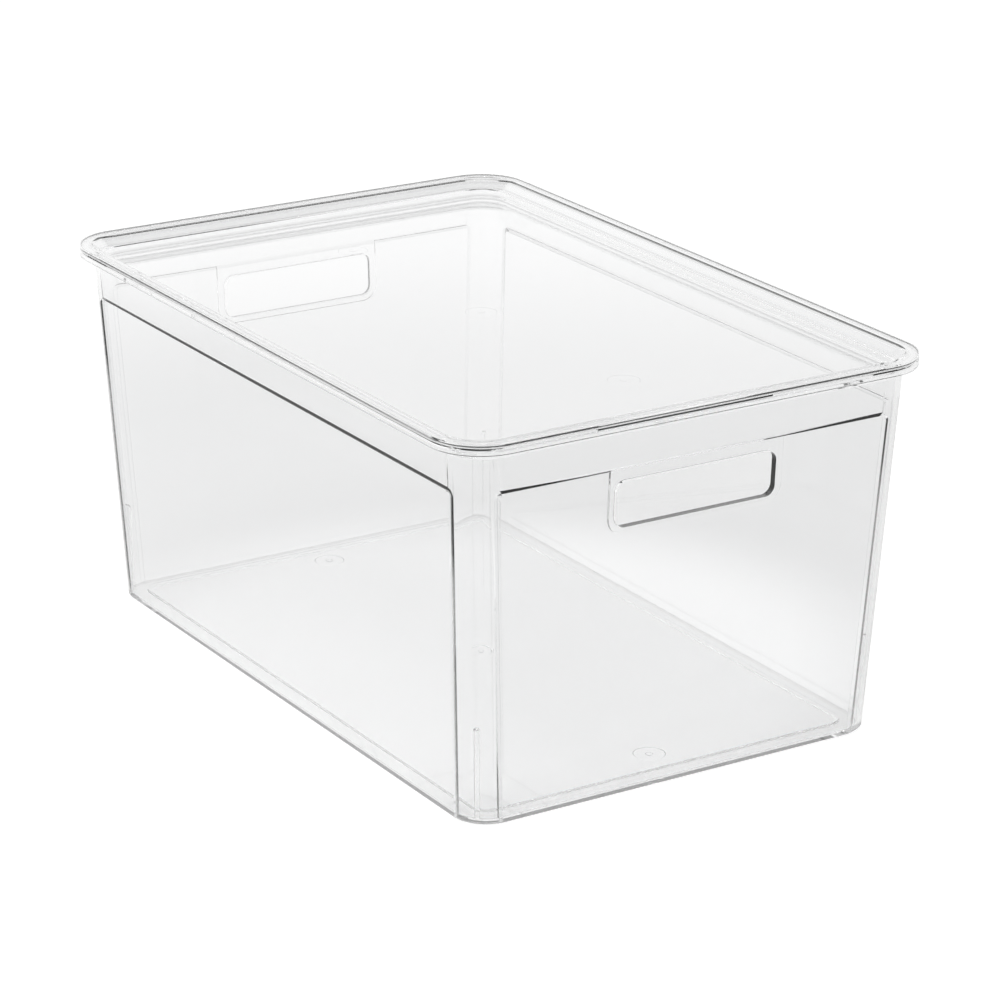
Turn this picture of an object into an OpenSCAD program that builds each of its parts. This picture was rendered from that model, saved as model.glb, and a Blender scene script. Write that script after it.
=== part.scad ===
// Clear storage box with a lift-off lid.
// Origin: middle of the footprint, on the surface the box stands on.
// +X runs the long way, towards one hand hole. +Z is up. Sizes are in millimetres.

/* [Rim] */
// length over the rim
rim_len = 380; // [300:1:480]
// width over the rim
rim_wid = 255; // [210:1:340]
// radius of the rim's outside corners
rim_r = 25; // [24:0.5:34]
// how far the rim stands out past the wall
overhang = 7; // [6:0.1:8]
// height of the turned-down lip of the rim
lip_h = 3.8; // [3.2:0.1:6]
// thickness of the turned-down lip
lip_t = 2; // [1.4:0.1:2.6]
// thickness of the flat part of the rim
rim_t = 2; // [1.6:0.1:2.4]

/* [Walls] */
// height of the bin without its lid
bin_h = 183.2; // [140:0.2:240]
// thickness of the walls
wall = 2.3; // [1.8:0.1:2.6]
// lean of the walls, in degrees
draft = 2.9; // [1.5:0.1:4]
// height of the plain band, from the top of the rim down to the panels
band_h = 24.6; // [18:0.2:34]
// depth of the sunken panels, which also stand in on the inside
panel_step = 1.1; // [0.6:0.1:1.5]
// distance from the end of a wall to the panel in it
post_w = 16.3; // [14:0.1:24]
// radius of the panels' top corners
panel_r = 2.5; // [1:0.1:5]
// height of the bevel round the foot
foot_bevel = 1.2; // [0.6:0.1:1.8]

/* [Hand holes] */
// width of each hand hole
hole_w = 85.4; // [70:0.2:110]
// height of each hand hole
hole_h = 21.8; // [18:0.2:28]
// radius of the hole's corners
hole_r = 5; // [3:0.1:8]
// distance from the band down to the hole
hole_drop = 5.6; // [4:0.1:9]
// width of the thick frame beside the hole
frame_side = 3.7; // [2:0.1:6]
// height of the thick frame under the hole
frame_low = 3.2; // [2:0.1:6]

/* [Floor] */
// thickness of the floor
floor_t = 2.4; // [2:0.1:3]
// height of the step up to the raised middle of the floor
floor_step = 1; // [0.5:0.1:1.4]
// distance from the panels in to the step
ring_inset = 7; // [5:0.5:14]
// corner radius of the step
ring_r = 9; // [5:0.5:14]
// distance between the moulding marks on the floor
bin_mark_gap = 147; // [90:1:150]

/* [Corner ribs] */
// height of the four corner ribs
rib_h = 47; // [20:1:70]
// thickness of the corner ribs
rib_t = 2.2; // [1.4:0.1:3]
// how far each rib stands off the corner at the floor
rib_low = 0.4; // [0.2:0.1:1.5]
// radius of the rib's top corner
rib_r = 2.4; // [1:0.1:2.8]

/* [Lid] */
// thickness of the lid's rim
lid_t = 1.9; // [1.4:0.1:2.6]
// thickness of the lid's sunken middle
plate_t = 1.8; // [1.4:0.1:2.4]
// depth of the sunken middle below the lid's top
sink = 8.4; // [6.5:0.1:12]
// width of the flat part of the lid's rim
lid_flat = 6; // [5:0.1:6.5]
// gap between the plug under the lid and the bin
plug_gap = 0.7; // [0.5:0.1:1]
// distance between the moulding marks on the lid
lid_mark_gap = 122; // [80:1:130]

/* [Hidden] */
$fn = 64;
eps = 0.01;
over = 2;
plastic = [0.93, 0.95, 0.96, 0.45];

// the wall's lean as a ratio of width to height
slope = tan(draft);
half_l = rim_len / 2;
half_w = rim_wid / 2;
// centres of the rim's corners; the walls' corners share them at the top
rim_cx = half_l - rim_r;
rim_cy = half_w - rim_r;
wall_r = rim_r - overhang;
inner_r = wall_r - wall;

// how far below the lip the shoulder under the rim starts
join_drop = 0.6;
// how far a slope reaches into the wall that it joins, sideways and downwards
bite = 0.5;
bite_h = 0.42;
// size of the bevel between the walls and the floor inside
floor_bevel = 1;

// heights on the bin
lip_z = bin_h - lip_h;
under_z = bin_h - rim_t;
join_z = lip_z - join_drop;
ledge_z = bin_h - band_h;

// the wall's corner centres and half sizes at the foot
foot_cx = rim_cx - slope * join_z;
foot_cy = rim_cy - slope * join_z;
foot_hx = foot_cx + wall_r;
foot_hy = foot_cy + wall_r;

// the mouth widens from the wall's inside to this radius at the top of the rim
mouth_spare = 1.2;
mouth_r = rim_r - lid_flat + mouth_spare;
mouth_rise = (mouth_r - inner_r) / lip_h;

// the ledge's height measured up the leaning wall
ledge_s = ledge_z / cos(draft);
hole_top = ledge_s - hole_drop;
hole_low = hole_top - hole_h;

// the step in the floor
ring_hx = foot_hx - wall - panel_step - ring_inset;
ring_hy = foot_hy - wall - panel_step - ring_inset;
ring_wall = 1.5;
mark_r = 7.5;
mark_deep = 0.5;
nub_r = 1.6;

// the lid's plug and its sunken middle
plug_r = inner_r - plug_gap;
sink_r = plug_r - plate_t;
lid_top = bin_h + lid_t;
plate_top = lid_top - sink;
plate_low = plate_top - plate_t;
// where the sloping shoulder under the lid's rim ends
shoulder_spare = 0.1;
shoulder_top_r = mouth_r - plug_gap + shoulder_spare;
shoulder_z = bin_h - (shoulder_top_r - plug_r) / mouth_rise;
// the slope of the sunken middle starts this far above the shoulder's foot
sink_lift = 0.9;
sink_rise = (rim_r - lid_flat - sink_r) / (lid_top - shoulder_z - sink_lift);
sink_z = lid_top - (rim_r - lid_flat - sink_r) / sink_rise;

// a rectangle with true round corners
module outline(hx, hy, r) {
    square([2 * (hx - r), 2 * hy], center = true);
    square([2 * hx, 2 * (hy - r)], center = true);
    for (sx = [-1, 1], sy = [-1, 1])
        translate([sx * (hx - r), sy * (hy - r)])
            circle(r);
}

// an upright block on the rim's corner centres, with corner radius r
module block(r, z0, z1) {
    translate([0, 0, z0])
        linear_extrude(z1 - z0)
            outline(rim_cx + r, rim_cy + r, r);
}

// the four faces of a cross section that widens from radius r0 to r1
module taper_bar(c, r0, r1, z0, z1, len) {
    rotate([90, 0, 0])
        linear_extrude(len, center = true)
            polygon([[-c - r0, z0], [c + r0, z0], [c + r1, z1], [-c - r1, z1]]);
}

// a block on the rim's corner centres whose sides slope and whose corners are cones
module flare(r0, r1, z0, z1) {
    taper_bar(rim_cx, r0, r1, z0, z1, 2 * rim_cy);
    rotate([0, 0, 90])
        taper_bar(rim_cy, r0, r1, z0, z1, 2 * rim_cx);
    for (sx = [-1, 1], sy = [-1, 1])
        translate([sx * rim_cx, sy * rim_cy, z0])
            cylinder(h = z1 - z0, r1 = r0, r2 = r1);
}

// one thin level of the leaning shell
module level(r, z) {
    cx = foot_cx + slope * z;
    cy = foot_cy + slope * z;
    for (sx = [-1, 1], sy = [-1, 1])
        translate([sx * cx, sy * cy, z])
            cylinder(h = eps, r = r);
}

// the solid inside the walls' outer face
module outer_shape() {
    hull() {
        level(wall_r - foot_bevel, 0);
        level(wall_r, foot_bevel);
        level(wall_r, join_z);
    }
}

// the space inside the walls
module inner_shape() {
    hull() {
        level(inner_r - floor_bevel, floor_t);
        level(inner_r, floor_t + floor_bevel);
        level(inner_r, lip_z + eps);
    }
}

// places a flat shape on the outer face of the wall that faces +X
module on_wall(hx) {
    translate([hx, 0, 0])
        rotate([0, draft, 0])
            rotate([90, 0, 90])
                children();
}

// the outline of one panel, seen square on to the wall
module panel_outline(hy, low) {
    low_w = hy - post_w + low * slope;
    top_w = hy - post_w + ledge_z * slope;
    polygon([
        [-low_w, low], [low_w, low],
        [top_w, ledge_s - panel_r], [top_w - panel_r, ledge_s],
        [-top_w + panel_r, ledge_s], [-top_w, ledge_s - panel_r]
    ]);
    for (s = [-1, 1])
        translate([s * (top_w - panel_r), ledge_s - panel_r])
            circle(panel_r);
}

// the outline of the hand hole
module hole_outline() {
    translate([0, hole_low + hole_h / 2])
        outline(hole_w / 2, hole_h / 2, hole_r);
}

// the outline of the thick frame, which runs up into the band
module frame_outline() {
    frame_w = hole_w / 2 + frame_side;
    frame_r = hole_r + frame_low;
    low = hole_low - frame_low;
    translate([-frame_w, low + frame_r])
        square([2 * frame_w, ledge_s - low - frame_r + over]);
    translate([0, low + frame_r])
        outline(frame_w, frame_r, frame_r - eps);
}

// what is cut away outside one wall
module panel_cut(hx, hy, framed) {
    on_wall(hx)
        translate([0, 0, -panel_step])
            linear_extrude(panel_step + over)
                difference() {
                    panel_outline(hy, -over);
                    if (framed) frame_outline();
                }
}

// what stands in on the inside of one wall
module panel_pad(hx, hy) {
    on_wall(hx)
        translate([0, 0, -wall - panel_step])
            linear_extrude(panel_step + wall / 4)
                panel_outline(hy, floor_t / 2);
}

module all_panels(cut) {
    for (turn = [0, 180]) {
        rotate([0, 0, turn])
            if (cut) panel_cut(foot_hx, foot_hy, true);
            else panel_pad(foot_hx, foot_hy);
        rotate([0, 0, turn + 90])
            if (cut) panel_cut(foot_hy, foot_hx, false);
            else panel_pad(foot_hy, foot_hx);
    }
}

module hand_holes() {
    for (turn = [0, 180])
        rotate([0, 0, turn])
            on_wall(foot_hx)
                translate([0, 0, -wall - panel_step - over])
                    linear_extrude(wall + panel_step + 2 * over)
                        hole_outline();
}

// one rib on the diagonal of a corner, with an upright inner edge
module rib() {
    inner = inner_r - rib_low;
    foot = inner_r + wall / 2;
    lean = slope * sqrt(2);
    rotate([90, 0, 0])
        linear_extrude(rib_t, center = true) {
            polygon([
                [inner, floor_t / 2], [foot, floor_t / 2],
                [foot + lean * rib_h, rib_h], [inner + rib_r, rib_h],
                [inner, rib_h - rib_r]
            ]);
            translate([inner + rib_r, rib_h - rib_r])
                circle(rib_r);
        }
}

module ribs() {
    for (sx = [-1, 1], sy = [-1, 1])
        translate([sx * foot_cx, sy * foot_cy, 0])
            rotate([0, 0, atan2(sy, sx)])
                rib();
}

// a shallow round mould mark with a nub in its middle, cut from below
module mark(z) {
    translate([0, 0, z - over])
        difference() {
            cylinder(h = over + mark_deep, r = mark_r);
            translate([0, 0, over])
                cylinder(h = mark_deep, r = nub_r);
        }
}

// the rim: a flat plate with a turned-down lip and a sloping shoulder to the wall
module rim() {
    block(rim_r, under_z, bin_h);
    foot_r = wall_r - bite;
    foot_z = join_z - bite_h;
    flare(foot_r, foot_r + (under_z - foot_z) * mouth_rise, foot_z, under_z + eps);
    difference() {
        block(rim_r, lip_z, under_z + eps);
        block(rim_r - lip_t, lip_z - over, under_z);
    }
}

// the mouth inside the rim, which widens upwards
module mouth() {
    flare(inner_r - bite, mouth_r + over * mouth_rise,
        lip_z - bite / mouth_rise, bin_h + over);
}

// walls, rim and floor as one hollow shell, with the panels cut in outside
module shell() {
    difference() {
        union() {
            outer_shape();
            rim();
        }
        inner_shape();
        mouth();
        all_panels(cut = true);
    }
}

// what stands on the inside of the shell
module inside_forms() {
    intersection() {
        all_panels(cut = false);
        outer_shape();
    }
    ribs();
    translate([0, 0, floor_t / 2])
        linear_extrude(floor_t / 2 + floor_step)
            outline(ring_hx, ring_hy, ring_r);
}

module bin() {
    color(plastic)
        difference() {
            union() {
                shell();
                inside_forms();
            }
            hand_holes();
            translate([0, 0, -over])
                linear_extrude(over + floor_step)
                    outline(ring_hx - ring_wall, ring_hy - ring_wall, ring_r - ring_wall);
            for (i = [-1:1])
                translate([i * bin_mark_gap, 0, 0])
                    mark(floor_step);
        }
}

module lid() {
    color(plastic)
        difference() {
            union() {
                block(rim_r, bin_h, lid_top);
                flare(plug_r, shoulder_top_r, shoulder_z, bin_h + eps);
                block(plug_r, plate_low, shoulder_z + eps);
            }
            flare(sink_r, rim_r - lid_flat + over * sink_rise, sink_z, lid_top + over);
            block(sink_r, plate_top, sink_z + eps);
            for (i = [-1:1])
                translate([i * lid_mark_gap, 0, 0])
                    mark(plate_low);
        }
}

bin();
lid();
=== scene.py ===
"""A clear moulded storage box with a lift-off lid, the plastic it is made of, and its studio."""

import logging
import math
from dataclasses import dataclass, field, replace
from enum import Enum

import bmesh
import bpy
from mathutils import Matrix, Vector


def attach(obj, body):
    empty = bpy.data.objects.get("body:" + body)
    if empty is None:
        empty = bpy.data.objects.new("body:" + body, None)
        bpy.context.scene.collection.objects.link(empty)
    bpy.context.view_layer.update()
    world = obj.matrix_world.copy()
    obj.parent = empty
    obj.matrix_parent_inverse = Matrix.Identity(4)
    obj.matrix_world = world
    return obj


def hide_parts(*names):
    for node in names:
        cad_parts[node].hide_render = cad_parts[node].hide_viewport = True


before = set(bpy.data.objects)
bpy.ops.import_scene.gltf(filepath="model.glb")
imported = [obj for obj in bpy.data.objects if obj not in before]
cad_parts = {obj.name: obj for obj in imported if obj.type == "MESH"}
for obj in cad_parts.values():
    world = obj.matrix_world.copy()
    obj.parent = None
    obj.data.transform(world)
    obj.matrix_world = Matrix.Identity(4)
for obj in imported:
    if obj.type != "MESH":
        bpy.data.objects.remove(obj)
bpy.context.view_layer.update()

log = logging.getLogger("storage_box")

MM = 0.001

# How finely round stretches are drawn, and the angle from which an edge stays sharp.
CORNER_STEPS = 20
FILLET_STEPS = 4
PANEL_STEPS = 8
FRAME_STEPS = 10
CIRCLE_STEPS = 48
SHARP_ANGLE = math.radians(38)

# How strongly broad faces set the shading beside them, where 50 is even and 100 the most.
BROAD_FACE_WEIGHT = 100

# Points beyond this share of an outline's half length belong to its two ends.
END_SHARE = 0.7

# How round a mould mark's edges are, as a share of its depth, and how far its tool starts below it.
MARK_SOFTNESS = 0.6
MARK_OVERCUT = 1.0

WHITE = (1.0, 1.0, 1.0, 1.0)

Point = tuple[float, float]
Outline = list[Point]
Layer = tuple[float, float, float]
Triple = tuple[float, float, float]
Ring = list[Vector]
Tree = bpy.types.NodeTree
Socket = bpy.types.NodeSocket
Given = Socket | float | tuple[float, ...]


class Wall(Enum):
    """One wall of the bin, with the turn in degrees that brings it to face +X."""

    FRONT_END = 0
    BACK_SIDE = 90
    BACK_END = 180
    FRONT_SIDE = 270

    @property
    def is_end(self) -> bool:
        """True for the two short walls, which have the hand holes."""
        return self in (Wall.FRONT_END, Wall.BACK_END)


class Carving(Enum):
    """How a tool body changes a moulding."""

    CUT = "DIFFERENCE"
    ADD = "UNION"


@dataclass(frozen=True)
class BoxSizes:
    """Sizes of the box in millimetres, the same as in the part's source."""

    half_length: float = 190.0
    half_width: float = 127.5
    rim_radius: float = 25.0
    overhang: float = 7.0
    lip_height: float = 3.8
    lip_thickness: float = 2.0
    rim_thickness: float = 2.0
    bin_height: float = 183.2
    wall: float = 2.3
    draft: float = math.radians(2.9)
    band_height: float = 24.6
    panel_step: float = 1.1
    post_width: float = 16.3
    panel_radius: float = 2.5
    hole_width: float = 85.4
    hole_height: float = 21.8
    hole_radius: float = 5.0
    hole_drop: float = 5.6
    frame_side: float = 3.7
    frame_low: float = 3.2
    floor_thickness: float = 2.4
    floor_step: float = 1.0
    ring_inset: float = 7.0
    ring_radius: float = 9.0
    ring_wall: float = 1.5
    bin_mark_gap: float = 147.0
    rib_height: float = 47.0
    rib_thickness: float = 2.2
    rib_low: float = 0.4
    rib_radius: float = 2.4
    lid_thickness: float = 1.9
    plate_thickness: float = 1.8
    sink: float = 8.4
    lid_flat: float = 6.0
    plug_gap: float = 0.7
    lid_mark_gap: float = 122.0
    mark_radius: float = 7.5
    nub_radius: float = 1.6
    join_drop: float = 0.6
    mouth_spare: float = 1.2
    shoulder_spare: float = 0.1
    sink_lift: float = 0.9

    @property
    def slope(self) -> float:
        """The walls' lean as a ratio of width to height."""
        return math.tan(self.draft)

    @property
    def rim_centre(self) -> Point:
        """Centre of the rim's corner in the quarter where x and y are positive."""
        return self.half_length - self.rim_radius, self.half_width - self.rim_radius

    @property
    def wall_radius(self) -> float:
        """Radius of the walls' outside corners."""
        return self.rim_radius - self.overhang

    @property
    def inner_radius(self) -> float:
        """Radius of the walls' inside corners."""
        return self.wall_radius - self.wall

    @property
    def lip_z(self) -> float:
        """Height of the lip's lower edge."""
        return self.bin_height - self.lip_height

    @property
    def under_z(self) -> float:
        """Height of the underside of the rim's flat part."""
        return self.bin_height - self.rim_thickness

    @property
    def join_z(self) -> float:
        """Height at which the wall turns out into the shoulder."""
        return self.lip_z - self.join_drop

    @property
    def ledge_z(self) -> float:
        """Height of the ledge between the band and the panels."""
        return self.bin_height - self.band_height

    @property
    def ledge_up_wall(self) -> float:
        """The ledge's height measured up the leaning wall."""
        return self.ledge_z / math.cos(self.draft)

    @property
    def mouth_radius(self) -> float:
        """Corner radius of the mouth at the top of the rim."""
        return self.rim_radius - self.lid_flat + self.mouth_spare

    @property
    def mouth_rise(self) -> float:
        """How much the mouth widens for each unit of height."""
        return (self.mouth_radius - self.inner_radius) / self.lip_height

    @property
    def foot_centre(self) -> Point:
        """Centre of the walls' corner at the height of the floor."""
        back = self.slope * self.join_z
        return self.rim_centre[0] - back, self.rim_centre[1] - back

    @property
    def ring_centre(self) -> Point:
        """Corner centre of the step in the floor."""
        inset = self.wall + self.panel_step + self.ring_inset + self.ring_radius
        reach = self.wall_radius - inset
        return self.foot_centre[0] + reach, self.foot_centre[1] + reach

    @property
    def lid_top(self) -> float:
        """Height of the lid's rim, the highest point of the box."""
        return self.bin_height + self.lid_thickness

    @property
    def plug_radius(self) -> float:
        """Corner radius of the plug under the lid."""
        return self.inner_radius - self.plug_gap

    @property
    def sink_radius(self) -> float:
        """Corner radius of the lid's sunken middle at its foot."""
        return self.plug_radius - self.plate_thickness

    def wall_reach(self, wall: Wall) -> Point:
        """Gives a wall's distance from the middle and half its length, both at the foot.

        Args:
            wall: The wall that is asked for.

        Returns:
            Distance from the middle of the box, and half of the wall's outside length.
        """
        long = self.foot_centre[0] + self.wall_radius
        wide = self.foot_centre[1] + self.wall_radius
        return (long, wide) if wall.is_end else (wide, long)


def arc(centre: Point, radius: float, start: float, end: float, steps: int) -> Outline:
    """Gives points along an arc.

    Args:
        centre: Centre of the arc.
        radius: Radius of the arc.
        start: First angle in degrees.
        end: Last angle in degrees.
        steps: Number of chords.

    Returns:
        The points in order, both ends included.
    """
    angles = [math.radians(start + (end - start) * i / steps) for i in range(steps + 1)]
    return [(centre[0] + radius * math.cos(a), centre[1] + radius * math.sin(a)) for a in angles]


def fillet(centre: Point, radius: float, start: float, end: float) -> Outline:
    """Gives points round a small moulded edge, with the usual number of steps."""
    return arc(centre, radius, start, end, FILLET_STEPS)


def rounded(centre: Point, radius: float, middle: Point = (0.0, 0.0)) -> Outline:
    """Gives a rectangle with round corners, anticlockwise.

    Args:
        centre: Distance of the corner centres from the middle.
        radius: Corner radius.
        middle: Middle of the rectangle.

    Returns:
        The outline's points.
    """
    points: Outline = []
    for quarter, (sx, sy) in enumerate(((1, 1), (-1, 1), (-1, -1), (1, -1))):
        corner = (middle[0] + sx * centre[0], middle[1] + sy * centre[1])
        points += arc(corner, radius, 90 * quarter, 90 * quarter + 90, CORNER_STEPS)
    return points


def level_ring(centre: Point, radius: float, z: float) -> Ring:
    """Gives a rectangle with round corners as a ring at one height."""
    return [Vector((x, y, z)) for x, y in rounded(centre, radius)]


def round_ring(centre: Point, radius: float, z: float) -> Ring:
    """Gives a circle as a ring at one height, with its first point once only."""
    points = arc(centre, radius, 0, 360 - 360 / CIRCLE_STEPS, CIRCLE_STEPS - 1)
    return [Vector((x, y, z)) for x, y in points]


def grown(outline: Outline, amount: float) -> Outline:
    """Moves every side of an anticlockwise outline outwards by the same amount.

    Args:
        outline: Points of the outline.
        amount: Distance to move out, or in where it is negative.

    Returns:
        The new outline with the same number of points.
    """
    moved: Outline = []
    for index, point in enumerate(outline):
        here = Vector(point)
        before = (here - Vector(outline[index - 1])).normalized()
        after = (Vector(outline[(index + 1) % len(outline)]) - here).normalized()
        first, second = Vector((before.y, -before.x)), Vector((after.y, -after.x))
        shift = (first + second) * (amount / (1 + first.dot(second)))
        moved.append((here.x + shift.x, here.y + shift.y))
    return moved


def skin(work: bmesh.types.BMesh, rings: list[Ring]) -> list[list[bmesh.types.BMVert]]:
    """Joins a row of rings with four-sided faces.

    Args:
        work: The mesh that gets the faces.
        rings: Rings with the same number of points each, in millimetres.

    Returns:
        The new points, ring by ring.
    """
    rows = [[work.verts.new(point * MM) for point in ring] for ring in rings]
    for low, high in zip(rows, rows[1:]):
        for index in range(len(low)):
            other = (index + 1) % len(low)
            work.faces.new((low[index], low[other], high[other], high[index]))
    return rows


def placed(name: str, work: bmesh.types.BMesh) -> bpy.types.Object:
    """Turns a worked mesh into an object of the scene.

    Args:
        name: Name of the object and its mesh.
        work: The finished mesh, which is used up.

    Returns:
        The new object.
    """
    mesh = bpy.data.meshes.new(name)
    work.to_mesh(mesh)
    work.free()
    piece = bpy.data.objects.new(name, mesh)
    bpy.context.scene.collection.objects.link(piece)
    return piece


def solid(name: str, rings: list[Ring]) -> bpy.types.Object:
    """Joins a row of rings and closes both ends.

    Args:
        name: Name of the new object.
        rings: Rings with the same number of points each, in millimetres.

    Returns:
        The closed mesh as an object in metres.
    """
    work = bmesh.new()
    rows = skin(work, rings)
    work.faces.new(list(reversed(rows[0])))
    work.faces.new(rows[-1])
    bmesh.ops.recalc_face_normals(work, faces=work.faces)
    return placed(name, work)


def slab(name: str, outline: Outline, layers: list[Layer], place: Matrix) -> bpy.types.Object:
    """Stacks grown copies of an outline into a body with shaped edges.

    Args:
        name: Name of the new object.
        outline: Flat outline, anticlockwise.
        layers: Height, growth all round and extra growth of the two ends of each copy.
        place: Where the flat outline's plane stands, in millimetres.

    Returns:
        The closed body.
    """
    rings = []
    far = END_SHARE * max(x for x, _ in outline)
    for height, growth, ends in layers:
        flat = grown(outline, growth)
        shift = [math.copysign(ends, x) if abs(x) > far else 0.0 for x, _ in flat]
        rings.append([place @ Vector((x + dx, y, height)) for (x, y), dx in zip(flat, shift)])
    return solid(name, rings)


def level(profile: Outline, lean: float = 0.0) -> list[Layer]:
    """Turns pairs of growth and height into layers whose ends widen with height."""
    return [(height, growth, lean * height) for growth, height in profile]


def apply_modifiers(piece: bpy.types.Object) -> None:
    """Turns a piece's modifiers into its mesh.

    Args:
        piece: The object to change.
    """
    graph = bpy.context.evaluated_depsgraph_get()
    mesh = bpy.data.meshes.new_from_object(piece.evaluated_get(graph))
    old = piece.data
    piece.modifiers.clear()
    piece.data = mesh
    bpy.data.meshes.remove(old)


def carve(piece: bpy.types.Object, tools: list[bpy.types.Object], how: Carving) -> None:
    """Cuts tool bodies out of a moulding or joins them to it, and removes them.

    Args:
        piece: The moulding to change.
        tools: Closed bodies that don't touch each other.
        how: Whether they are cut away or joined on.
    """
    joined = bmesh.new()
    for tool in tools:
        joined.from_mesh(tool.data)
        bpy.data.objects.remove(tool)
    body = placed("tool", joined)
    mesh = body.data
    step = piece.modifiers.new("carve", "BOOLEAN")
    step.operation = how.value
    step.solver = "EXACT"
    step.object = body
    apply_modifiers(piece)
    bpy.data.objects.remove(body)
    bpy.data.meshes.remove(mesh)


def polish(piece: bpy.types.Object) -> None:
    """Shades rounded edges smoothly and keeps the broad faces flat.

    Args:
        piece: The moulding to shade.
    """
    piece.data.shade_smooth()
    piece.data.set_sharp_from_angle(angle=SHARP_ANGLE)
    weights = piece.modifiers.new("flat_faces", "WEIGHTED_NORMAL")
    weights.mode = "FACE_AREA"
    weights.weight = BROAD_FACE_WEIGHT
    weights.keep_sharp = True
    apply_modifiers(piece)


def mould_mark(name: str, sizes: BoxSizes, x: float, face_z: float, depth: float) -> bpy.types.Object:
    """Makes the tool body of a round mould mark, cut upwards into a flat underside.

    Args:
        name: Name of the tool body.
        sizes: Sizes of the box.
        x: Place of the mark along the box.
        face_z: Height of the underside.
        depth: Depth of the mark.

    Returns:
        The closed tool body.
    """
    top = face_z + depth
    soft = MARK_SOFTNESS * depth
    wide = sizes.mark_radius
    profile = [(wide + soft, face_z - MARK_OVERCUT), (wide + soft, face_z)]
    profile += fillet((wide - soft, top - soft), soft, 0, 90)
    profile += fillet((sizes.nub_radius + soft, top - soft), soft, 90, 180)
    profile.append((sizes.nub_radius, face_z))
    return solid(name, [round_ring((x, 0.0), radius, z) for radius, z in profile])


def plug(tree: Tree, target: Socket, given: Given) -> None:
    """Fills the input of a node.

    Args:
        tree: The node tree.
        target: The input.
        given: Another node's output to link it to, or a plain value.
    """
    if isinstance(given, Socket):
        tree.links.new(given, target)
    else:
        target.default_value = given


def add_node(tree: Tree, kind: str, result: str, inputs: dict[str | int, Given], **settings: str) -> Socket:
    """Adds a node and fills its inputs.

    Args:
        tree: The node tree.
        kind: Type of the node.
        result: Name of the output that is asked for.
        inputs: What goes into the inputs, by name or number.
        settings: Other options of the node, by name.

    Returns:
        The output.
    """
    node = tree.nodes.new(kind)
    for name, choice in settings.items():
        setattr(node, name, choice)
    for name, given in inputs.items():
        plug(tree, node.inputs[name], given)
    return node.outputs[result]


def add_maths(tree: Tree, how: str, first: Given, second: Given) -> Socket:
    """Adds a maths node with two inputs and gives its result."""
    return add_node(tree, "ShaderNodeMath", "Value", {0: first, 1: second}, operation=how)


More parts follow.
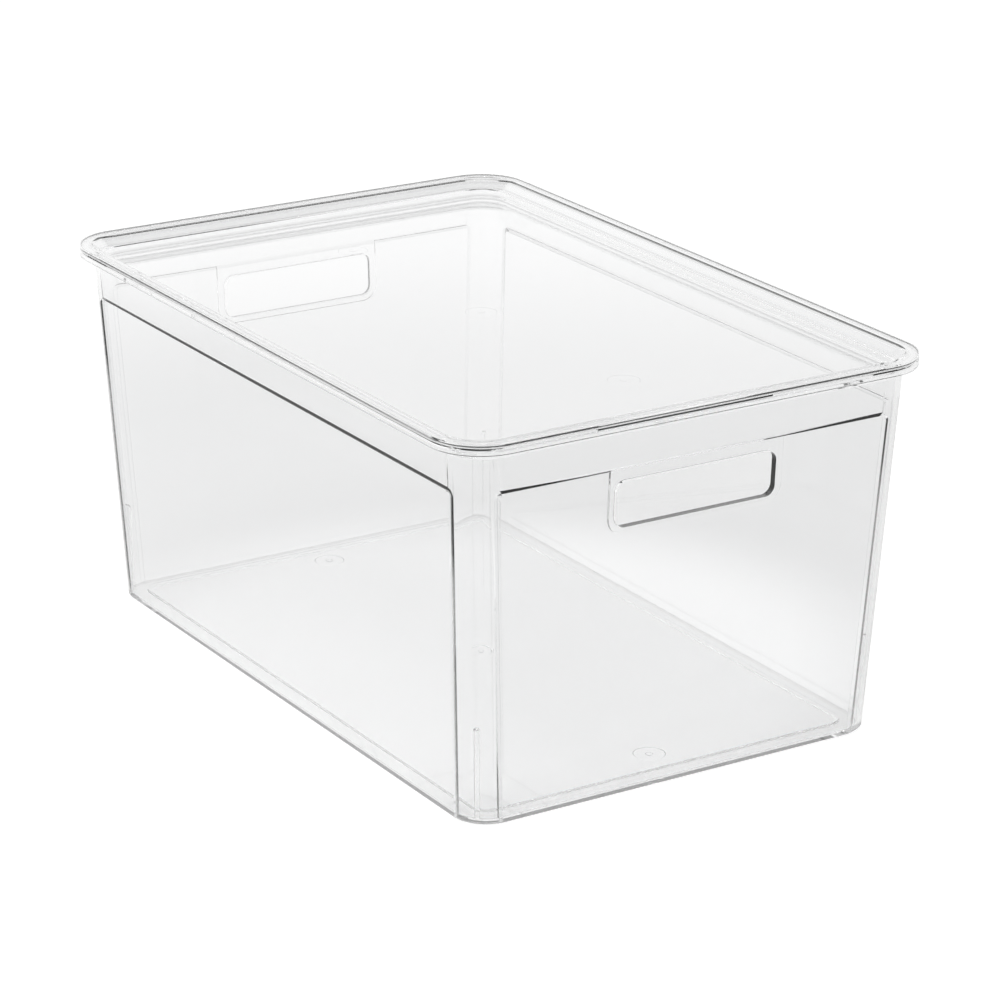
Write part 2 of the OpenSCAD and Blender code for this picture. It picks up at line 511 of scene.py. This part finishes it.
class MouldedSurface:
    """The fine unevenness of a polished moulding, as a node group that all the plastics share."""

    NAME = "moulded_surface"
    SOCKETS = (
        ("Smoothness Low", "INPUT", 0.0),
        ("Smoothness High", "INPUT", 0.03),
        ("Flow Size", "INPUT", 9.0),
        ("Flow Height", "INPUT", 0.03),
        ("Rub Marks", "INPUT", 0.02),
        ("Roughness", "OUTPUT", None),
        ("Normal", "OUTPUT", None),
    )
    FLOW_DETAIL = 2.0
    SWELL_DISTANCE = 0.001
    CLOUD_SCALE = 38.0
    CLOUD_DETAIL = 5.0
    CLOUD_RANGE = (0.35, 0.75)
    RUB_TURN = (0.3, 0.5, 0.7)
    RUB_STRETCH = (14.0, 260.0, 90.0)
    RUB_DETAIL = 1.0
    RUB_RANGE = (0.72, 0.8)

    @classmethod
    def _haze(cls, tree: Tree, place: Given, low: Given, high: Given) -> Socket:
        """Adds the cloudy change between smoother and duller patches.

        Args:
            tree: The group.
            place: Where the surface is.
            low: Roughness of the smoothest patches.
            high: Roughness of the dullest patches.

        Returns:
            The roughness.
        """
        detail = {"Vector": place, "Scale": cls.CLOUD_SCALE, "Detail": cls.CLOUD_DETAIL}
        cloud = add_node(tree, "ShaderNodeTexNoise", "Fac", detail)
        start, end = cls.CLOUD_RANGE
        limits = {"Value": cloud, "From Min": start, "From Max": end, "To Min": low, "To Max": high}
        return add_node(tree, "ShaderNodeMapRange", "Result", limits)

    @classmethod
    def _rub_marks(cls, tree: Tree, place: Given, depth: Given) -> Socket:
        """Adds fine long marks from handling.

        Args:
            tree: The group.
            place: Where the surface is.
            depth: How much duller a mark is.

        Returns:
            The extra roughness.
        """
        layout = {"Vector": place, "Rotation": cls.RUB_TURN, "Scale": cls.RUB_STRETCH}
        stretch = add_node(tree, "ShaderNodeMapping", "Vector", layout)
        detail = {"Vector": stretch, "Scale": 1.0, "Detail": cls.RUB_DETAIL}
        streaks = add_node(tree, "ShaderNodeTexNoise", "Fac", detail)
        start, end = cls.RUB_RANGE
        limits = {"Value": streaks, "From Min": start, "From Max": end, "To Max": depth}
        return add_node(tree, "ShaderNodeMapRange", "Result", limits)

    @classmethod
    def _swell(cls, tree: Tree, place: Given, size: Given, height: Given) -> Socket:
        """Adds the slow waves that the plastic's flow leaves in a broad face.

        Args:
            tree: The group.
            place: Where the surface is.
            size: How close the waves are.
            height: How strong they are.

        Returns:
            The normal.
        """
        detail = {"Vector": place, "Scale": size, "Detail": cls.FLOW_DETAIL}
        flow = add_node(tree, "ShaderNodeTexNoise", "Fac", detail)
        waves = {"Distance": cls.SWELL_DISTANCE, "Strength": height, "Height": flow}
        return add_node(tree, "ShaderNodeBump", "Normal", waves)

    @classmethod
    def group(cls) -> Tree:
        """Builds the group once.

        Returns:
            The node group.
        """
        known = bpy.data.node_groups.get(cls.NAME)
        if known:
            return known
        tree = bpy.data.node_groups.new(cls.NAME, "ShaderNodeTree")
        for name, way, default in cls.SOCKETS:
            kind = "NodeSocketVector" if name == "Normal" else "NodeSocketFloat"
            socket = tree.interface.new_socket(name=name, in_out=way, socket_type=kind)
            if default is not None:
                socket.default_value = default
        given = tree.nodes.new("NodeGroupInput").outputs
        result = tree.nodes.new("NodeGroupOutput").inputs
        place = add_node(tree, "ShaderNodeTexCoord", "Object", {})
        haze = cls._haze(tree, place, given["Smoothness Low"], given["Smoothness High"])
        marks = cls._rub_marks(tree, place, given["Rub Marks"])
        plug(tree, result["Roughness"], add_maths(tree, "ADD", haze, marks))
        plug(tree, result["Normal"], cls._swell(tree, place, given["Flow Size"], given["Flow Height"]))
        return tree


@dataclass(frozen=True)
class DarkZone:
    """The heights in metres between which the edges stay dark, and the share that gets out below them."""

    fade_from: float
    dark_from: float
    dark_to: float
    share_below: float = 0.4


@dataclass(frozen=True)
class LightEscape:
    """The share that gets out of the light that is caught in the plastic, all over or above a dark zone."""

    share: float = 1.0
    dark_zone: DarkZone | None = None

    # Light that has met more surfaces than this counts as caught.
    caught_after: float = 4.5

    def add(self, tree: Tree, depth: Socket) -> Socket:
        """Adds the nodes that let caught light out.

        Args:
            tree: The material's node tree.
            depth: How many surfaces the light has met.

        Returns:
            How far the plastic lets this light straight through, from 0 to 1.
        """
        caught = add_maths(tree, "GREATER_THAN", depth, self.caught_after)
        return add_maths(tree, "MULTIPLY", caught, self._share_by_height(tree))

    def _share_by_height(self, tree: Tree) -> Given:
        """Gives the share that gets out, which changes with height where there is a dark zone.

        Args:
            tree: The material's node tree.

        Returns:
            The plain share, or the output of the nodes that work it out.
        """
        zone = self.dark_zone
        if zone is None:
            return self.share
        place = add_node(tree, "ShaderNodeTexCoord", "Object", {})
        height = add_node(tree, "ShaderNodeSeparateXYZ", "Z", {"Vector": place})
        limits = {"Value": height, "From Min": zone.fade_from, "From Max": zone.dark_from}
        shares = {"To Min": zone.share_below, "To Max": 0.0}
        below = add_node(tree, "ShaderNodeMapRange", "Result", limits | shares)
        above = add_maths(tree, "GREATER_THAN", height, zone.dark_to)
        return add_maths(tree, "MAXIMUM", below, add_maths(tree, "MULTIPLY", above, self.share))


@dataclass(frozen=True)
class ClearPlastic:
    """Clear polished plastic, with the fine unevenness of its mould."""

    name: str
    tint: Triple
    shadow_tint: Triple
    flow_height: float
    haze: float
    escape: LightEscape = LightEscape()
    ior: float = 1.49

    def material(self) -> bpy.types.Material:
        """Builds the material.

        Returns:
            The finished material.
        """
        made = bpy.data.materials.new(self.name)
        made.use_nodes = True
        tree = made.node_tree
        shader = tree.nodes["Principled BSDF"]
        shader.inputs["Base Color"].default_value = (*self.tint, 1.0)
        shader.inputs["IOR"].default_value = self.ior
        shader.inputs["Transmission Weight"].default_value = 1.0
        surface = tree.nodes.new("ShaderNodeGroup")
        surface.node_tree = MouldedSurface.group()
        surface.inputs["Smoothness High"].default_value = self.haze
        surface.inputs["Flow Height"].default_value = self.flow_height
        for name in ("Roughness", "Normal"):
            plug(tree, shader.inputs[name], surface.outputs[name])
        path = tree.nodes.new("ShaderNodeLightPath").outputs
        freed = self.escape.add(tree, path["Ray Depth"])
        straight = add_maths(tree, "MAXIMUM", freed, path["Is Shadow Ray"])
        clear = add_node(tree, "ShaderNodeBsdfTransparent", "BSDF", {"Color": (*self.shadow_tint, 1.0)})
        both = {"Fac": straight, 1: shader.outputs["BSDF"], 2: clear}
        mixed = add_node(tree, "ShaderNodeMixShader", "Shader", both)
        plug(tree, tree.nodes["Material Output"].inputs["Surface"], mixed)
        return made


@dataclass
class BinShell:
    """The bin: walls, rim, floor, sunken panels, framed hand holes and corner ribs, all one moulding."""

    finish: ClearPlastic
    sizes: BoxSizes = field(default_factory=BoxSizes)

    # Radii of the rounded edges in millimetres, and the flat bevel round the foot.
    ledge_edge: float = 0.35
    ledge_root: float = 0.3
    pad_edge: float = 0.12
    hole_edge: float = 0.2
    rib_edge: float = 0.4
    lip_edge: float = 0.35
    lip_top_edge: float = 0.3
    foot_edge: float = 0.3
    foot_bevel: float = 1.2
    floor_round: float = 1.0

    # How much the panels' sides widen for each unit of depth, and the floor's step over its height.
    side_lean: float = 2.0
    step_lean: float = 0.3

    # The pads inside the walls: how far their top slopes, how thick they are, how far they start under the
    # ledge, and how far they reach into the floor and into the wall.
    pad_rise: float = 1.9
    pad_depth: float = 1.1
    pad_drop: float = 0.49
    pad_root: float = 0.1
    pad_bite: float = 0.575

    # The part of the slope that the pads' sides lack, on the two ends and on the two long walls.
    pad_side: Point = (0.8, 0.5)

    # How far the ribs reach into the corners, how far cutting bodies stand clear, and the marks' depth.
    rib_bite: float = 1.15
    clear: float = 2.0
    mark_depth: float = 0.5

    def _leaning(self, profile: Outline) -> list[Ring]:
        """Gives rings on the leaning wall.

        Args:
            profile: Pairs of corner radius and height.

        Returns:
            One ring for each pair.
        """
        box = self.sizes
        rings = []
        for radius, z in profile:
            centre = (box.foot_centre[0] + box.slope * z, box.foot_centre[1] + box.slope * z)
            rings.append(level_ring(centre, radius, z))
        return rings

    def _upright(self, profile: Outline) -> list[Ring]:
        """Gives rings on the rim's corner centres from pairs of radius and height."""
        return [level_ring(self.sizes.rim_centre, radius, z) for radius, z in profile]

    def shell(self) -> bpy.types.Object:
        """Skins the floor, walls and rim.

        Returns:
            The plain shell without panels, holes or ribs.
        """
        box = self.sizes
        edge, crown = self.lip_edge, self.lip_top_edge
        bevel = self.foot_bevel
        ring_inner = box.ring_radius - box.ring_wall
        shoulder_r = box.wall_radius + (box.under_z - box.join_z) * box.mouth_rise
        lip_inner = box.rim_radius - box.lip_thickness
        rings = [level_ring(box.ring_centre, ring_inner, box.floor_step)]
        rings.append(level_ring(box.ring_centre, ring_inner, 0.0))
        soft = self.foot_edge
        foot = fillet((box.wall_radius - bevel - soft, soft), soft, -90, -45)
        foot += fillet((box.wall_radius - soft, bevel + soft), soft, -45, 0)
        rings += self._leaning(foot)
        rings += self._leaning([(box.wall_radius, box.join_z)])
        rim = [(shoulder_r, box.under_z), (lip_inner, box.under_z)]
        rim += fillet((lip_inner + edge, box.lip_z + edge), edge, 180, 270)
        rim += fillet((box.rim_radius - edge, box.lip_z + edge), edge, 270, 360)
        rim += fillet((box.rim_radius - crown, box.bin_height - crown), crown, 0, 90)
        rim += [(box.mouth_radius, box.bin_height), (box.inner_radius, box.lip_z)]
        rings += self._upright(rim)
        turn = self.floor_round
        inner = fillet((box.inner_radius - turn, box.floor_thickness + turn), turn, 0, -90)
        rings += self._leaning(inner)
        raised = box.floor_thickness + box.floor_step
        rings.append(level_ring(box.ring_centre, box.ring_radius, box.floor_thickness))
        rings.append(level_ring(box.ring_centre, box.ring_radius - self.step_lean, raised))
        return solid("bin_shell", rings)

    def _on_wall(self, wall: Wall) -> Matrix:
        """Gives the place of a flat outline on a wall's outer face.

        Args:
            wall: The wall that carries the outline.

        Returns:
            Matrix from along, up and out of the wall to the box's own axes.
        """
        box = self.sizes
        cos, sin = math.cos(box.draft), math.sin(box.draft)
        reach = box.wall_reach(wall)[0]
        face = Matrix(((0, sin, cos, reach), (1, 0, 0, 0), (0, cos, -sin, 0), (0, 0, 0, 1)))
        return Matrix.Rotation(math.radians(wall.value), 4, "Z") @ face

    def _panel(self, wall: Wall, low: float, framed: bool, drop: float = 0.0) -> Outline:
        """Gives the outline of a panel, seen square on to its wall.

        Args:
            wall: The wall that has the panel.
            low: Height at which the outline starts.
            framed: Whether the frame of the hand hole is left standing.
            drop: How far the outline's top stays under the ledge.

        Returns:
            The outline, anticlockwise.
        """
        box = self.sizes
        half = box.wall_reach(wall)[1] - box.post_width
        low_w, top_w = half + low * box.slope, half + box.ledge_z * box.slope
        top, turn = box.ledge_up_wall - drop, box.panel_radius
        points = [(-low_w, low), (low_w, low)]
        points += arc((top_w - turn, top - turn), turn, 0, 90, PANEL_STEPS)
        wide = box.hole_width / 2 + box.frame_side
        if wall.is_end and not framed:
            points += [(wide, top), (-wide, top)]
        if framed:
            corner = box.hole_radius + box.frame_low
            base = top - box.hole_drop - box.hole_height - box.frame_low
            points.append((wide, top))
            points += arc((wide - corner, base + corner), corner, 0, -90, FRAME_STEPS)
            points += arc((corner - wide, base + corner), corner, -90, -180, FRAME_STEPS)
            points.append((-wide, top))
        points += arc((turn - top_w, top - turn), turn, 90, 180, PANEL_STEPS)
        return points

    def panel_cutters(self) -> list[bpy.types.Object]:
        """Makes the bodies that sink the panels into the outside.

        Returns:
            One tool body for each wall.
        """
        step, root, edge = self.sizes.panel_step, self.ledge_root, self.ledge_edge
        profile = fillet((-root, root - step), root, -90, 0)
        profile += fillet((edge, -edge), edge, 180, 90)
        layers = level(profile + [(edge, self.clear)], self.side_lean)
        return [
            slab("panel_cut", self._panel(wall, -self.clear, wall.is_end), layers, self._on_wall(wall))
            for wall in Wall
        ]

    def panel_pads(self) -> list[bpy.types.Object]:
        """Makes the bodies that stand in on the inside of each wall.

        Returns:
            One tool body for each wall.
        """
        box = self.sizes
        edge = self.pad_edge
        face = -box.wall - self.pad_depth
        profile = fillet((-edge, face + edge), edge, -90, 0)
        profile += [(self.pad_rise, -box.wall), (self.pad_rise, self.pad_bite - box.wall)]
        low = box.floor_thickness - self.pad_root
        made = []
        for wall in Wall:
            upright = self.pad_side[0] if wall.is_end else self.pad_side[1]
            layers = [(w, g, -upright * g) for g, w in profile]
            outline = self._panel(wall, low, False, self.pad_drop)
            made.append(slab("panel_pad", outline, layers, self._on_wall(wall)))
        return made

    def hand_hole_cutters(self) -> list[bpy.types.Object]:
        """Makes the bodies that open the two hand holes, with rounded edges.

        Returns:
            One tool body for each end.
        """
        box = self.sizes
        edge = self.hole_edge
        back = -box.wall - box.panel_step
        middle = (0.0, box.ledge_up_wall - box.hole_drop - box.hole_height / 2)
        centre = (box.hole_width / 2 - box.hole_radius, box.hole_height / 2 - box.hole_radius)
        outline = rounded(centre, box.hole_radius, middle)
        profile = [(edge, back - self.clear)] + fillet((edge, back + edge), edge, 270, 180)
        profile += fillet((edge, -edge), edge, 180, 90)
        layers = level(profile + [(edge, self.clear)])
        ends = [wall for wall in Wall if wall.is_end]
        return [slab("hand_hole", outline, layers, self._on_wall(wall)) for wall in ends]

    def ribs(self) -> list[bpy.types.Object]:
        """Makes the four upright ribs in the corners.

        Returns:
            One body for each corner.
        """
        box = self.sizes
        inner, foot = box.inner_radius - box.rib_low, box.inner_radius + self.rib_bite
        lean, low = box.slope * math.sqrt(2), box.floor_thickness / 2
        top, turn = box.rib_height, box.rib_radius
        outline = [(inner, low), (foot, low), (foot + lean * top, top)]
        outline += arc((inner + turn, top - turn), turn, 90, 180, PANEL_STEPS)
        half, edge = box.rib_thickness / 2, self.rib_edge
        profile = fillet((-edge, edge - half), edge, -90, 0)
        profile += fillet((-edge, half - edge), edge, 0, 90)
        layers = level(profile)
        made = []
        for sx, sy in ((1, 1), (-1, 1), (-1, -1), (1, -1)):
            out = Vector((sx, sy, 0)).normalized()
            side = out.cross(Vector((0, 0, 1)))
            place = Matrix((
                (out.x, 0, side.x, sx * box.foot_centre[0]),
                (out.y, 0, side.y, sy * box.foot_centre[1]),
                (0, 1, 0, 0),
                (0, 0, 0, 1),
            ))
            made.append(slab("rib", outline, layers, place))
        return made

    def build(self) -> bpy.types.Object:
        """Builds the bin and dresses it.

        Returns:
            The finished piece.
        """
        box = self.sizes
        piece = self.shell()
        carve(piece, self.panel_cutters(), Carving.CUT)
        carve(piece, self.panel_pads() + self.ribs(), Carving.ADD)
        places = (-box.bin_mark_gap, 0.0, box.bin_mark_gap)
        marks = [mould_mark("mark", box, x, box.floor_step, self.mark_depth) for x in places]
        carve(piece, self.hand_hole_cutters() + marks, Carving.CUT)
        polish(piece)
        piece.data.materials.clear()
        piece.data.materials.append(self.finish.material())
        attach(piece, "bin")
        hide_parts("bin")
        return piece


@dataclass
class LidShell:
    """The lid: a flat rim, a sloping shoulder and a sunken middle, all one moulding."""

    finish: ClearPlastic
    # Near-black plastic for the lid's lower rim edge: painted shade at the seam between lid and bin.
    painted_seam_shade: ClearPlastic
    sizes: BoxSizes = field(default_factory=BoxSizes)

    # The gap between the two rims, the radii of the rounded edges and the marks' depth, in millimetres.
    seam: float = 0.06
    rim_edge: float = 0.1
    rim_low_edge: float = 0.9
    plug_edge: float = 0.6
    sink_edge: float = 1.2
    mark_depth: float = 0.15

    def profile(self) -> Outline:
        """Gives the lid's cross section as pairs of corner radius and height.

        Returns:
            The profile, from the sunken middle's top out over the rim and back under it.
        """
        box = self.sizes
        shoulder_r = box.mouth_radius - box.plug_gap + box.shoulder_spare
        shoulder_z = box.bin_height - (shoulder_r - box.plug_radius) / box.mouth_rise
        flat_r = box.rim_radius - box.lid_flat
        plate_top = box.lid_top - box.sink
        plate_low = plate_top - box.plate_thickness
        rise_z = shoulder_z + box.sink_lift
        low_z = box.bin_height + self.seam
        edge, under = self.rim_edge, self.rim_low_edge
        plug, sink = self.plug_edge, self.sink_edge
        points = fillet((box.sink_radius - sink, plate_top + sink), sink, -90, 0)
        points += [(box.sink_radius, rise_z), (flat_r, box.lid_top)]
        points += fillet((box.rim_radius - edge, box.lid_top - edge), edge, 90, 0)
        points += fillet((box.rim_radius - under, low_z + under), under, 0, -90)
        points += [(shoulder_r, low_z), (box.plug_radius, shoulder_z)]
        points += fillet((box.plug_radius - plug, plate_low + plug), plug, 0, -90)
        return points

    def _paint_seam_shade(self, piece: bpy.types.Object) -> None:
        """Tints the rounded lower edge of the lid's rim near black, as painted shade for the dark line at
        the seam.

        Args:
            piece: The finished lid.
        """
        piece.data.materials.append(self.painted_seam_shade.material())
        low = (self.sizes.bin_height + self.seam) * MM
        high = low + self.rim_low_edge * MM
        for face in piece.data.polygons:
            outward = face.normal.x * face.center.x + face.normal.y * face.center.y > 0
            if outward and low < face.center.z < high:
                face.material_index = 1

    def build(self) -> bpy.types.Object:
        """Builds the lid and dresses it.

        Returns:
            The finished piece.
        """
        box = self.sizes
        rings = [level_ring(box.rim_centre, radius, z) for radius, z in self.profile()]
        piece = solid("lid_shell", rings)
        low = box.lid_top - box.sink - box.plate_thickness
        places = (-box.lid_mark_gap, 0.0, box.lid_mark_gap)
        marks = [mould_mark("mark", box, x, low, self.mark_depth) for x in places]
        carve(piece, marks, Carving.CUT)
        polish(piece)
        piece.data.materials.clear()
        piece.data.materials.append(self.finish.material())
        self._paint_seam_shade(piece)
        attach(piece, "lid")
        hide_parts("lid")
        return piece


@dataclass
class PhotoCamera:
    """The camera at the photograph's viewing angle, in metres."""

    place: Triple = (1.494213, -0.926151, 0.715605)
    back: Triple = (0.79683041, -0.49982252, 0.33946834)
    roll: float = math.radians(0.2821)
    lens: float = 138.98
    sensor: float = 36.0

    def build(self) -> bpy.types.Object:
        """Makes the camera and hands it to the scene.

        Returns:
            The camera object.
        """
        back = Vector(self.back).normalized()
        across = Vector((-back.y, back.x, 0)).normalized()
        upright = back.cross(across)
        right = across * math.cos(self.roll) + upright * math.sin(self.roll)
        up = upright * math.cos(self.roll) - across * math.sin(self.roll)
        data = bpy.data.cameras.new("photo_camera")
        data.lens = self.lens
        data.sensor_width = self.sensor
        camera = bpy.data.objects.new("photo_camera", data)
        turn = Matrix((right, up, back)).transposed().to_4x4()
        camera.matrix_world = Matrix.Translation(Vector(self.place)) @ turn
        bpy.context.scene.collection.objects.link(camera)
        bpy.context.scene.camera = camera
        return camera


@dataclass(frozen=True)
class MattFinish:
    """A plain matt surface of the studio."""

    name: str
    grey: float
    roughness: float

    def material(self) -> bpy.types.Material:
        """Builds the material.

        Returns:
            The finished material.
        """
        made = bpy.data.materials.new(self.name)
        made.use_nodes = True
        shader = made.node_tree.nodes["Principled BSDF"]
        shader.inputs["Base Color"].default_value = (self.grey, self.grey, self.grey, 1.0)
        shader.inputs["Roughness"].default_value = self.roughness
        shader.inputs["Specular IOR Level"].default_value = 0.0
        return made


@dataclass(frozen=True)
class Fade:
    """A glow of the table that changes softly with the distance from its middle, in metres."""

    start: float
    end: float
    first: float
    last: float

    def add(self, tree: Tree, distance: Socket) -> Socket:
        """Adds the node that works out the glow.

        Args:
            tree: The table's node tree.
            distance: Distance from the middle.

        Returns:
            The strength of the glow.
        """
        reach = {"Value": distance, "From Min": self.start, "From Max": self.end}
        glow = {"To Min": self.first, "To Max": self.last}
        return add_node(tree, "ShaderNodeMapRange", "Result", reach | glow, interpolation_type="SMOOTHSTEP")


@dataclass(frozen=True)
class SoftLamp:
    """A square lamp that points at the box and shows neither in reflections nor through the plastic."""

    name: str
    place: Triple
    power: float
    size: float = 1.6
    aim: Triple = (0.0, 0.0, 0.1)

    def hang(self) -> bpy.types.Object:
        """Hangs the lamp.

        Returns:
            The lamp.
        """
        data = bpy.data.lights.new(self.name, "AREA")
        data.energy = self.power
        data.size = self.size
        lamp = bpy.data.objects.new(self.name, data)
        way = Vector(self.aim) - Vector(self.place)
        lamp.rotation_euler = way.to_track_quat("-Z", "Y").to_euler()
        lamp.location = self.place
        lamp.visible_glossy = False
        lamp.visible_transmission = False
        bpy.context.scene.collection.objects.link(lamp)
        return lamp


@dataclass
class Studio:
    """A white table in soft light, with a dark ceiling that only the plastic shows, in metres."""

    floor_half: float = 8.0
    floor_drop: float = 0.0004
    table: MattFinish = MattFinish(name="white_table", grey=0.8, roughness=0.9)

    # How strongly the table glows: straight into the camera, then by way of the plastic, lower near the box
    # as painted shade and higher under it as painted light, and what is added far out, where it meets the
    # white background.
    camera_glow: float = 0.42
    painted_shade_near_box: Fade = Fade(start=0.42, end=0.8, first=0.16, last=0.34)
    # Painted light: extra glow under the box, a pool of light on the table seen through the plastic.
    under: Fade = Fade(start=0.14, end=0.24, first=0.22, last=0.0)
    edge: Fade = Fade(start=1.5, end=5.0, first=0.0, last=0.6)

    room_light: float = 0.5
    cloth: MattFinish = MattFinish(name="black_cloth", grey=0.02, roughness=1.0)
    dome_radius: float = 5.0
    dome_low: float = 45.0
    dome_high: float = 90.0
    dome_steps: int = 12
    key: SoftLamp = SoftLamp(name="key", place=(0.5, -1.7, 2.1), power=40.0)
    fill: SoftLamp = SoftLamp(name="fill", place=(-1.5, 1.5, 2.4), power=12.0)

    @staticmethod
    def _seen(tree: Tree) -> Socket:
        """Adds the test for a ray that shows the background, straight or by way of the object.

        Args:
            tree: The node tree that gets the test.

        Returns:
            A value of 1 for camera, glossy and transmission rays.
        """
        path = tree.nodes.new("ShaderNodeLightPath").outputs
        first = add_maths(tree, "MAXIMUM", path["Is Camera Ray"], path["Is Glossy Ray"])
        return add_maths(tree, "MAXIMUM", first, path["Is Transmission Ray"])

    def world(self) -> None:
        """Sets the even light of the room and its white background."""
        world = bpy.data.worlds.new("studio")
        world.use_nodes = True
        tree = world.node_tree
        light = tree.nodes["Background"]
        light.inputs["Color"].default_value = WHITE
        light.inputs["Strength"].default_value = self.room_light
        white = add_node(tree, "ShaderNodeBackground", "Background", {"Color": WHITE})
        both = {"Fac": self._seen(tree), 1: light.outputs["Background"], 2: white}
        mixed = add_node(tree, "ShaderNodeMixShader", "Shader", both)
        plug(tree, tree.nodes["World Output"].inputs["Surface"], mixed)
        bpy.context.scene.world = world

    def table_material(self) -> bpy.types.Material:
        """Makes the table's matt white, which glows faintly so that it shows as an even background; through
        the plastic its glow is painted shade round the box and painted light under it.

        Returns:
            The finished material.
        """
        made = self.table.material()
        tree = made.node_tree
        place = add_node(tree, "ShaderNodeTexCoord", "Object", {})
        distance = add_node(tree, "ShaderNodeVectorMath", "Value", {0: place}, operation="LENGTH")
        # Painted shade round the box and painted light under it, for rays that reach the table through the
        # plastic.
        painted_shade_and_light = add_maths(tree, "ADD", self.painted_shade_near_box.add(tree, distance), self.under.add(tree, distance))
        straight = add_node(tree, "ShaderNodeLightPath", "Is Camera Ray", {})
        ways = {"Factor": straight, "A": painted_shade_and_light, "B": self.camera_glow}
        chosen = add_node(tree, "ShaderNodeMix", "Result", ways)
        widened = add_maths(tree, "ADD", chosen, self.edge.add(tree, distance))
        strength = add_maths(tree, "MULTIPLY", widened, self._seen(tree))
        glow = add_node(tree, "ShaderNodeEmission", "Emission", {"Strength": strength})
        matt = tree.nodes["Principled BSDF"].outputs["BSDF"]
        both = add_node(tree, "ShaderNodeAddShader", "Shader", {0: matt, 1: glow})
        plug(tree, tree.nodes["Material Output"].inputs["Surface"], both)
        return made

    def floor(self) -> bpy.types.Object:
        """Makes the pale table top.

        Returns:
            The floor.
        """
        half, z = self.floor_half, -self.floor_drop
        corners = ((-half, -half, z), (half, -half, z), (half, half, z), (-half, half, z))
        work = bmesh.new()
        work.faces.new([work.verts.new(corner) for corner in corners])
        piece = placed("floor", work)
        piece.data.materials.append(self.table_material())
        return piece

    def ceiling(self) -> bpy.types.Object:
        """Makes the dark ceiling that gives the plastic its dark edge lines.

        Returns:
            The ceiling.
        """
        rings = []
        reach = self.dome_radius / MM
        for index in range(self.dome_steps):
            share = index / self.dome_steps
            height = math.radians(self.dome_low + (self.dome_high - self.dome_low) * share)
            rings.append(round_ring((0.0, 0.0), reach * math.cos(height), reach * math.sin(height)))
        work = bmesh.new()
        rows = skin(work, rings)
        work.faces.new(rows[-1])
        piece = placed("dark_ceiling", work)
        piece.data.materials.append(self.cloth.material())
        piece.visible_camera = False
        piece.visible_diffuse = False
        piece.visible_shadow = False
        return piece

    def build(self) -> list[bpy.types.Object]:
        """Sets up the whole studio.

        Returns:
            The floor, the ceiling and the lamps.
        """
        self.world()
        bpy.context.scene.view_settings.view_transform = "Standard"
        return [self.floor(), self.ceiling(), self.key.hang(), self.fill.hang()]


def main() -> None:
    """Builds the box, its camera and its studio, and reports each piece."""
    logging.basicConfig(level=logging.INFO, format="%(message)s")
    bin_plastic = ClearPlastic(
        name="clear_bin_plastic",
        tint=(0.955, 0.957, 0.958),
        shadow_tint=(0.975, 0.975, 0.975),
        flow_height=0.03,
        haze=0.03,
        escape=LightEscape(dark_zone=DarkZone(fade_from=0.105, dark_from=0.125, dark_to=0.162)),
    )
    lid_plastic = ClearPlastic(
        name="clear_lid_plastic",
        tint=(0.975, 0.977, 0.978),
        shadow_tint=(0.985, 0.985, 0.985),
        flow_height=0.025,
        haze=0.025,
    )
    # Painted shade: near-black plastic that lets no caught light out draws the dark line at the lid's seam.
    painted_seam_shade_plastic = replace(
        lid_plastic, name="clear_plastic_painted_seam_shade", tint=(0.02, 0.02, 0.02), escape=LightEscape(share=0.0)
    )
    for part in (BinShell(bin_plastic), LidShell(lid_plastic, painted_seam_shade_plastic)):
        piece = part.build()
        log.info("%s: %d faces", piece.name, len(piece.data.polygons))
    camera = PhotoCamera().build()
    for piece in (camera, *Studio().build()):
        log.info("%s: part of the studio", piece.name)


if __name__ == "__main__":
    main()
